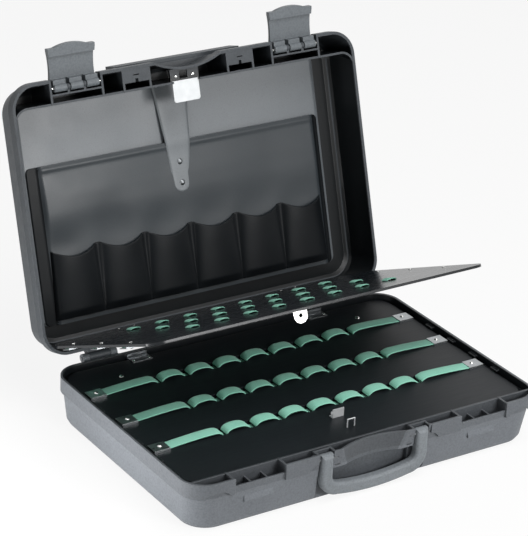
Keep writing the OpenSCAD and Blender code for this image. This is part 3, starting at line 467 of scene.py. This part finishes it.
def lid_sheet(name, x0, x1, y0, y1, depth, thick, finish, slot, replaced, radius=8.0,
              columns=97, rows=65):
    """A closed sheet in the closed lid's frame; depth(x, y) is its visible face's height."""
    front, back = [], []
    for i in range(rows):
        y = y0 + (y1 - y0) * (0.5 - 0.5 * math.cos(math.pi * i / (rows - 1)))
        half = rounded_span((x1 - x0) / 2, radius, y, y1, y0)
        middle = (x0 + x1) / 2
        row_f, row_b = [], []
        for j in range(columns):
            x = middle + half * (2 * j / (columns - 1) - 1)
            z = depth(x, y)
            row_f.append(in_lid(x, y, z))
            row_b.append(in_lid(x, y, z + thick))
        front.append(row_f)
        back.append(row_b)
    points, faces = skin_between(front, back)
    return mesh_piece(name, points, faces, finish, "lid", slot, replaced)


LINER_SPOTS = [(-120, -95, 45, -0.5), (40, -100, 60, 0.4), (150, -90, 40, -0.5),
               (-60, -80, 30, 0.4)]
LINER_SINK = 0.2                  # mean depth of the lining behind its nominal face


def liner_depth(x, y):
    """Face of the lining, glued to the lid and slightly wavy."""
    return LINER_Z + LINER_SINK + swell(x, y, LINER_SPOTS)


lid_liner = lid_sheet("lid_lining", *LINER_X, *LINER_Y, liner_depth, LINER_T, lightened_liner_skin,
                      "liner_leatherette", ["lid_liner"])

# soft swellings of the document pocket over what is behind it, negative towards the viewer
POCKET_SPOTS = [
    (-109, -17, 24, -2.4), (-104, 22, 20, 2.2), (-168, 5, 17, -1.8), (-131, 41, 12, -1.6),
    (-176, 38, 15, 1.8), (-182, -36, 18, 1.2), (-60, 12, 22, -1.6), (-66, 40, 10, -1.2),
    (-35, 33, 16, 1.6), (-2, 40, 10, -1.2), (30, 28, 20, 1.4), (62, 38, 10, -1.2),
    (95, 30, 18, 1.6), (168, 18, 24, -2.0), (125, 38, 10, -1.2), (152, 40, 14, 1.4),
    (60, -20, 40, -1.4), (-30, -22, 26, 1.0), (120, -30, 30, 0.8),
]
SPOT_SHARE = 0.35                 # how strongly the swellings show
BORDER_EDGE = (189.5, 184.0)      # x where the flat border ends and the loose face begins
BOTTOM_HOLD = 7.0                 # length over which the bottom seam holds the face down
MOUTH_ROLL, ROLL_AT, ROLL_SPREAD = 0.9, 4.5, 3.2
MOUTH_GAPE = 1.0
BELLY = 1.8
BORDER_Z = LINER_Z - 0.5          # the border lies half a millimetre over the lining


def document_depth(x, y):
    """Face of the document pocket: a flat welded border, held at the edges, loose in the middle,
    rolled at its mouth and drawn in towards the tool pockets."""
    edge = smooth_step(*BORDER_EDGE, abs(x))
    hold = smooth_step(POCKET_BACK, POCKET_BACK - BOTTOM_HOLD, y)
    roll = MOUTH_ROLL * math.exp(-((y - (POCKET_TOP + ROLL_AT)) / ROLL_SPREAD) ** 2)
    arch = math.cos(min(abs(x) / 190, 1.0) * math.pi / 2)
    gape = MOUTH_GAPE * smooth_step(-20, POCKET_TOP, y) * arch
    belly = BELLY * smooth_step(44, -2, y) * smooth_step(POCKET_TOP - 4, -16, y)
    inner = DOCUMENT_Z + SPOT_SHARE * swell(x, y, POCKET_SPOTS) * hold * edge - roll
    inner -= (gape + belly) * edge
    return BORDER_Z + (inner - BORDER_Z) * edge


document_pocket = lid_sheet("document_pocket_sheet", *DOCUMENT_X, POCKET_TOP, POCKET_BACK,
                            document_depth, POCKET_T, pocket_skin, "pocket_leatherette",
                            ["document_pocket"], radius=6.0, columns=181, rows=97)
# the welded border strips at both sides take the near-black tool pocket leatherette
document_pocket.data.materials.append(darkened_pouch_skin)
for polygon in document_pocket.data.polygons:
    polygon.material_index = int(abs(polygon.center.x) > DOCUMENT_BORDER * MM)


# ---------------------------------------------------------------- tool pockets
SEAM_X = [-189.5, -125.6, -62.6, 0.4, 63.6, 126.2, 187.5]
MOUTH_Y = 42.6                    # the mouths' height at the seams
BOTTOM_Y = 123.5
MOUTH_SAG = 9.5                   # how far a mouth hangs between its seams
PLEAT = 3.6                       # width of the pleat tucked in at each side of a seam
POUCH_OUT, MOUTH_OUT = 5.6, 1.6   # how far a pouch stands out, and how much more at its mouth
POUCH_FOOT = 9.0                  # length over which a pouch closes to its bottom


def pouch_depth(t, y):
    """How far a pouch stands out from the document pocket."""
    out = POUCH_OUT + MOUTH_OUT * smooth_step(110, 46, y)
    out *= 0.4 + 0.6 * smooth_step(BOTTOM_Y, BOTTOM_Y - POUCH_FOOT, y)
    lean = t ** 0.92
    return 0.4 + out * max(math.sin(math.pi * lean), 0.0) ** 0.5


def tool_pocket_strip():
    """Six pouches sewn from one strip, with a narrow pleat tucked in at every seam."""
    rows, across = 45, 31
    last = len(SEAM_X) - 2
    front, back = [], []
    for i in range(rows):
        v = i / (rows - 1)
        row_f, row_b = [], []
        for k in range(last + 1):
            seam, width = SEAM_X[k], SEAM_X[k + 1] - SEAM_X[k]
            pleat = PLEAT * (1 - v) ** 0.9
            for j in range(across if k == last else across - 1):
                t = 0.5 - 0.5 * math.cos(math.pi * j / (across - 1))
                x = seam + pleat + (width - 2 * pleat) * t
                if j == 0 and k > 0:
                    x = seam
                sag = MOUTH_SAG * max(math.sin(math.pi * t ** 1.2), 0.0) ** 0.7
                top = MOUTH_Y + sag
                y = top + (BOTTOM_Y - top) * v
                z = document_depth(x, y) - pouch_depth(t, y)
                row_f.append(in_lid(x, y, z))
                row_b.append(in_lid(x, y, z + POCKET_T))
        front.append(row_f)
        back.append(row_b)
    points, faces = skin_between(front, back)
    return mesh_piece("tool_pocket_strip", points, faces, darkened_pouch_skin, "lid",
                      "pocket_leatherette", ["tool_pockets"])


tool_pockets = tool_pocket_strip()


# ---------------------------------------------------------------- closing strap
STRAP_MID = -4.0                  # x of the strap's middle line
STRAP_Y = (-126.0, 5.0)           # from the lid's front box to the strap's round end
STRAP_HALF = (23.5, 16.5, 11.5)   # half widths at the root, at the pocket's mouth, at the end
STRAP_REST = LINER_Z - 1.3        # its face where it lies on the lining
STRAP_OVER = 101.5                # its face where it lies over the pocket
STRAP_T = 1.2


def strap_half_width(y):
    """Half the strap's width: it tapers to the pocket's mouth, tapers less, and ends round."""
    root, tip = STRAP_Y
    at_root, at_mouth, end = STRAP_HALF
    if y > tip - end:
        return math.sqrt(max(end ** 2 - (y - (tip - end)) ** 2, 0.0)) + 0.02
    if y < POCKET_TOP:
        return at_root - (at_root - at_mouth) * (y - root) / (POCKET_TOP - root)
    return at_mouth - (at_mouth - end) * min((y - POCKET_TOP) / (tip - end - POCKET_TOP), 1.0)


def closing_strap():
    """Tapered strap with a round end, lying over the mouth of the document pocket."""
    root, tip = STRAP_Y
    rows, columns = 61, 13
    front, back = [], []
    for i in range(rows):
        y = root + (tip - root) * (i / (rows - 1))
        half = strap_half_width(y)
        over = STRAP_OVER - 0.9 * math.exp(-((y - POCKET_TOP) / 10) ** 2)
        z = STRAP_REST + (over - STRAP_REST) * smooth_step(root + 4, POCKET_TOP, y)
        row_f, row_b = [], []
        for j in range(columns):
            s = 2 * j / (columns - 1) - 1
            x = STRAP_MID + half * s
            crown = 0.35 * (abs(s) ** 6)
            row_f.append(in_lid(x, y, z + crown))
            row_b.append(in_lid(x, y, z + STRAP_T))
        front.append(row_f)
        back.append(row_b)
    points, faces = skin_between(front, back)
    return mesh_piece("closing_strap_band", points, faces, strap_skin, "lid",
                      "liner_leatherette", ["closing_strap"])


closing_strap()


# ---------------------------------------------------------------- elastic tool loops
LOOPS = 7
LOOP_PITCH = 37.5
LOOP_GAP = 6.5                    # from one loop's foot to the next
LOOP_RISE = 5.4
FOOT = 1.2                        # how deep a loop goes down into its slot
TAPE_W, TAPE_T = 15.0, 1.3
CLIP_X, CLIP_W = 209.75, 19.5
ROW_EDGE = LOOPS * LOOP_PITCH / 2
END_RISE = 2.8                    # how far the long ends stand up before their clips
BUMP_L, BUMP_H = 13.0, 2.6        # the tape seen between two slots behind the board


def tape(path, widths, place, v_mid, points, faces):
    """Adds a strip of tape along a path of (x, w), with rounded selvedges, to points and faces."""
    profile = [(-1.0, -0.25), (-0.97, 0.3), (-0.8, 0.5), (0.0, 0.5), (0.8, 0.5), (0.97, 0.3),
               (1.0, -0.25), (0.9, -0.5), (0.0, -0.5), (-0.9, -0.5)]
    start = len(points)
    count = len(path)
    for i, (x, w) in enumerate(path):
        x0, w0 = path[max(i - 1, 0)]
        x1, w1 = path[min(i + 1, count - 1)]
        length = math.hypot(x1 - x0, w1 - w0) or 1.0
        nx, nw = -(w1 - w0) / length, (x1 - x0) / length
        for across, up in profile:
            points.append(place(x + nx * up * TAPE_T, v_mid + across * widths[i] / 2,
                                w + nw * up * TAPE_T))
    size = len(profile)
    for i in range(count - 1):
        for j in range(size):
            a, b = start + i * size + j, start + i * size + (j + 1) % size
            faces.append((a, b, b + size, a + size))
    faces.append(tuple(start + j for j in range(size))[::-1])
    faces.append(tuple(start + (count - 1) * size + j for j in range(size)))


def arc_path(x0, x1, low, rise, steps):
    """Arched path between two places, steeper at its first foot."""
    path = []
    for i in range(steps + 1):
        t = i / steps
        x = x0 + (x1 - x0) * (0.5 - 0.5 * math.cos(math.pi * t))
        lean = (x - x0) / (x1 - x0)
        bow = max(1 - abs(2 * lean ** 0.86 - 1) ** 2.6, 0.0) ** 0.8
        path.append((x, low + rise * bow))
    return path


def loop_paths(seed):
    """The loops between the slots, not all quite as high, with their widths."""
    steps = 22
    for k in range(LOOPS):
        x0 = -ROW_EDGE + k * LOOP_PITCH + LOOP_GAP / 2 + 0.1
        x1 = x0 + LOOP_PITCH - LOOP_GAP - 0.2
        lift = LOOP_RISE - TAPE_T / 2 - 0.5 * ((k * 7 + seed * 3) % 5) / 4
        pinch = [TAPE_W - 1.6 * math.exp(-min(i, steps - i) / 2.0) for i in range(steps + 1)]
        yield arc_path(x0, x1, FACE - FOOT, lift + FOOT, steps), pinch


def end_paths():
    """The long flat ends, which rise from the last slot and run under the clips."""
    run_start, run_end = ROW_EDGE + LOOP_GAP / 2 - 0.9, CLIP_X - CLIP_W / 2 + 1.5
    flat = FACE + TAPE_T / 2
    steps = 14
    for s in (-1, 1):
        path = [(s * run_start, FACE - FOOT)]
        for t in range(steps + 1):
            u = 1 - (t / steps) ** 1.4
            rise = math.sin(math.pi / 2 * min(u / 0.86, 1.0)) * (1 - max((u - 0.86) / 0.14, 0) ** 2)
            path.append((s * (run_end - (run_end - run_start) * u),
                         flat + END_RISE * max(rise, 0.0)))
        path += [(s * (CLIP_X - CLIP_W / 2 + 4), flat), (s * (CLIP_X + CLIP_W / 2 - 3), flat)]
        if s < 0:
            path.reverse()
        yield path, [TAPE_W - 0.4] * len(path)


def bump_paths(seed):
    """The short stretches behind the board, pinched where they enter the slots."""
    under = FACE - BOARD_T - TAPE_T / 2 + 0.4
    turns = [math.pi * t / 12 for t in range(13)]
    for j in range(LOOPS + 1):
        mid = -ROW_EDGE + j * LOOP_PITCH
        half = BUMP_L / 2 - 0.3 * ((j + seed) % 3)
        path = [(mid + half * math.cos(turn), under - (BUMP_H - 0.6) * math.sin(turn))
                for turn in turns]
        yield path, [TAPE_W - 0.6 - 3.2 * abs(math.cos(turn)) ** 3 for turn in turns]


def elastic_row(name, place, v_mid, body, node, seed):
    """One row: loops between the slots, flat ends under the clips and bumps behind the board."""
    points, faces = [], []
    for path, widths in [*loop_paths(seed), *end_paths(), *bump_paths(seed)]:
        tape(path, widths, place, v_mid, points, faces)
    return mesh_piece(name, points, faces, elastic, body, "green_elastic", [node])


ROWS = ("rear", "middle", "front")
BASE_ROWS = (-60.0, -129.0, -198.0)
PANEL_ROWS = (-62.0, -131.0, -200.0)
for k, row in enumerate(ROWS):
    elastic_row(f"board_tape_{row}", on_board, BASE_ROWS[k], "lower_board",
                f"base_elastic_{row}", k)
    elastic_row(f"panel_tape_{row}", on_panel, PANEL_ROWS[k], "upper_panel",
                f"panel_elastic_{row}", k + 3)


# ---------------------------------------------------------------- finishes of the rigid parts
for node_name, part in nodes.items():
    part.data.materials.clear()
    part.data.materials.append(FINISH_OF_PART.get(node_name, nickel))


# ---------------------------------------------------------------- floor, light and camera
FLOOR_HALF = 6.0                  # metres
FLOOR_GLOW = 0.88                 # share of the floor's look that is plain white
WORLD_LIGHT = 0.18                # strength of the world as a light, 1 where it is seen


def floor_finish():
    """Painted studio floor: white to the camera, and it still takes the object's shadow."""
    made, tree, _ = start_material("white floor")
    seen = add(tree, "ShaderNodeLightPath")
    bright = add(tree, "ShaderNodeMath", {0: seen.outputs["Is Camera Ray"],
                                          1: seen.outputs["Is Glossy Ray"]}, operation="MAXIMUM")
    share = add(tree, "ShaderNodeMath", {0: bright.outputs[0], 1: FLOOR_GLOW},
                operation="MULTIPLY")
    paint = add(tree, "ShaderNodeBsdfDiffuse", {"Color": hex_rgb("#f4f4f3")})
    glow = add(tree, "ShaderNodeEmission", {"Color": (1.0, 1.0, 1.0, 1.0), "Strength": 1.0})
    mixed = add(tree, "ShaderNodeMixShader", {0: share.outputs[0], 1: paint.outputs[0],
                                              2: glow.outputs[0]})
    end_material(tree, mixed)
    return made


def make_floor():
    """A large flat floor, which isn't part of the case."""
    half = FLOOR_HALF
    mesh = bpy.data.meshes.new("floor")
    mesh.from_pydata([(-half, -half, 0), (half, -half, 0), (half, half, 0), (-half, half, 0)], [],
                     [(0, 1, 2, 3)])
    mesh.materials.append(floor_finish())
    floor = bpy.data.objects.new("floor", mesh)
    bpy.context.scene.collection.objects.link(floor)


def make_world():
    """White surroundings where they are seen or mirrored, and a weak light elsewhere."""
    world = bpy.data.worlds.new("studio")
    world.use_nodes = True
    tree = world.node_tree
    tree.nodes.clear()
    seen = add(tree, "ShaderNodeLightPath")
    shiny = add(tree, "ShaderNodeMath", {0: seen.outputs["Is Camera Ray"],
                                         1: seen.outputs["Is Glossy Ray"]}, operation="MAXIMUM")
    clear = add(tree, "ShaderNodeMath", {0: shiny.outputs[0],
                                         1: seen.outputs["Is Transmission Ray"]},
                operation="MAXIMUM")
    strength = add(tree, "ShaderNodeMapRange", {"Value": clear.outputs[0], "To Min": WORLD_LIGHT,
                                                "To Max": 1.0})
    back = add(tree, "ShaderNodeBackground", {"Color": (1.0, 1.0, 1.0, 1.0),
                                              "Strength": strength.outputs[0]})
    add(tree, "ShaderNodeOutputWorld", {"Surface": back.outputs[0]})
    bpy.context.scene.world = world


def soft_box(name, place, aim, width, height, power):
    """Rectangular studio lamp at a place in metres, turned towards a point."""
    lamp = bpy.data.lights.new(name, "AREA")
    lamp.shape = "RECTANGLE"
    lamp.size, lamp.size_y, lamp.energy = width, height, power
    holder = bpy.data.objects.new(name, lamp)
    holder.location = place
    holder.visible_camera = False
    holder.rotation_euler = (Vector(aim) - Vector(place)).to_track_quat("-Z", "Y").to_euler()
    bpy.context.scene.collection.objects.link(holder)


CAMERA_PLACE = (-1.3952, -1.9978, 1.3166)
CAMERA_FORWARD = (0.50704, 0.75429, -0.41707)
CAMERA_ROLL = math.radians(2.741)
LENS = 166.0


def make_camera():
    """Long lens from the front left, above the rim."""
    forward = Vector(CAMERA_FORWARD).normalized()
    level = forward.cross(Vector((0, 0, 1))).normalized()
    upright = level.cross(forward)
    right = level * math.cos(CAMERA_ROLL) + upright * math.sin(CAMERA_ROLL)
    up = right.cross(forward)
    lens = bpy.data.cameras.new("camera")
    lens.sensor_fit = "HORIZONTAL"
    lens.sensor_width = 36.0
    lens.lens = LENS
    lens.clip_end = 50.0
    camera = bpy.data.objects.new("camera", lens)
    turn = Matrix((right, up, -forward)).transposed().to_4x4()
    camera.matrix_world = Matrix.Translation(CAMERA_PLACE) @ turn
    bpy.context.scene.collection.objects.link(camera)
    bpy.context.scene.camera = camera


bpy.context.scene.view_settings.view_transform = "Standard"
make_floor()
make_world()
make_camera()
# a low strip for the left wall, the main lamp at the front right, and a large one overhead
soft_box("left", (-0.52, -0.02, 0.05), (-0.2, -0.02, 0.03), 0.34, 0.08, 1.6)
soft_box("front", (0.68, -1.95, 0.9), (0.0, 0.1, 0.25), 0.8, 0.6, 25.5)
soft_box("top", (0.15, -0.6, 1.9), (0.0, 0.05, 0.12), 1.2, 1.2, 22.0)
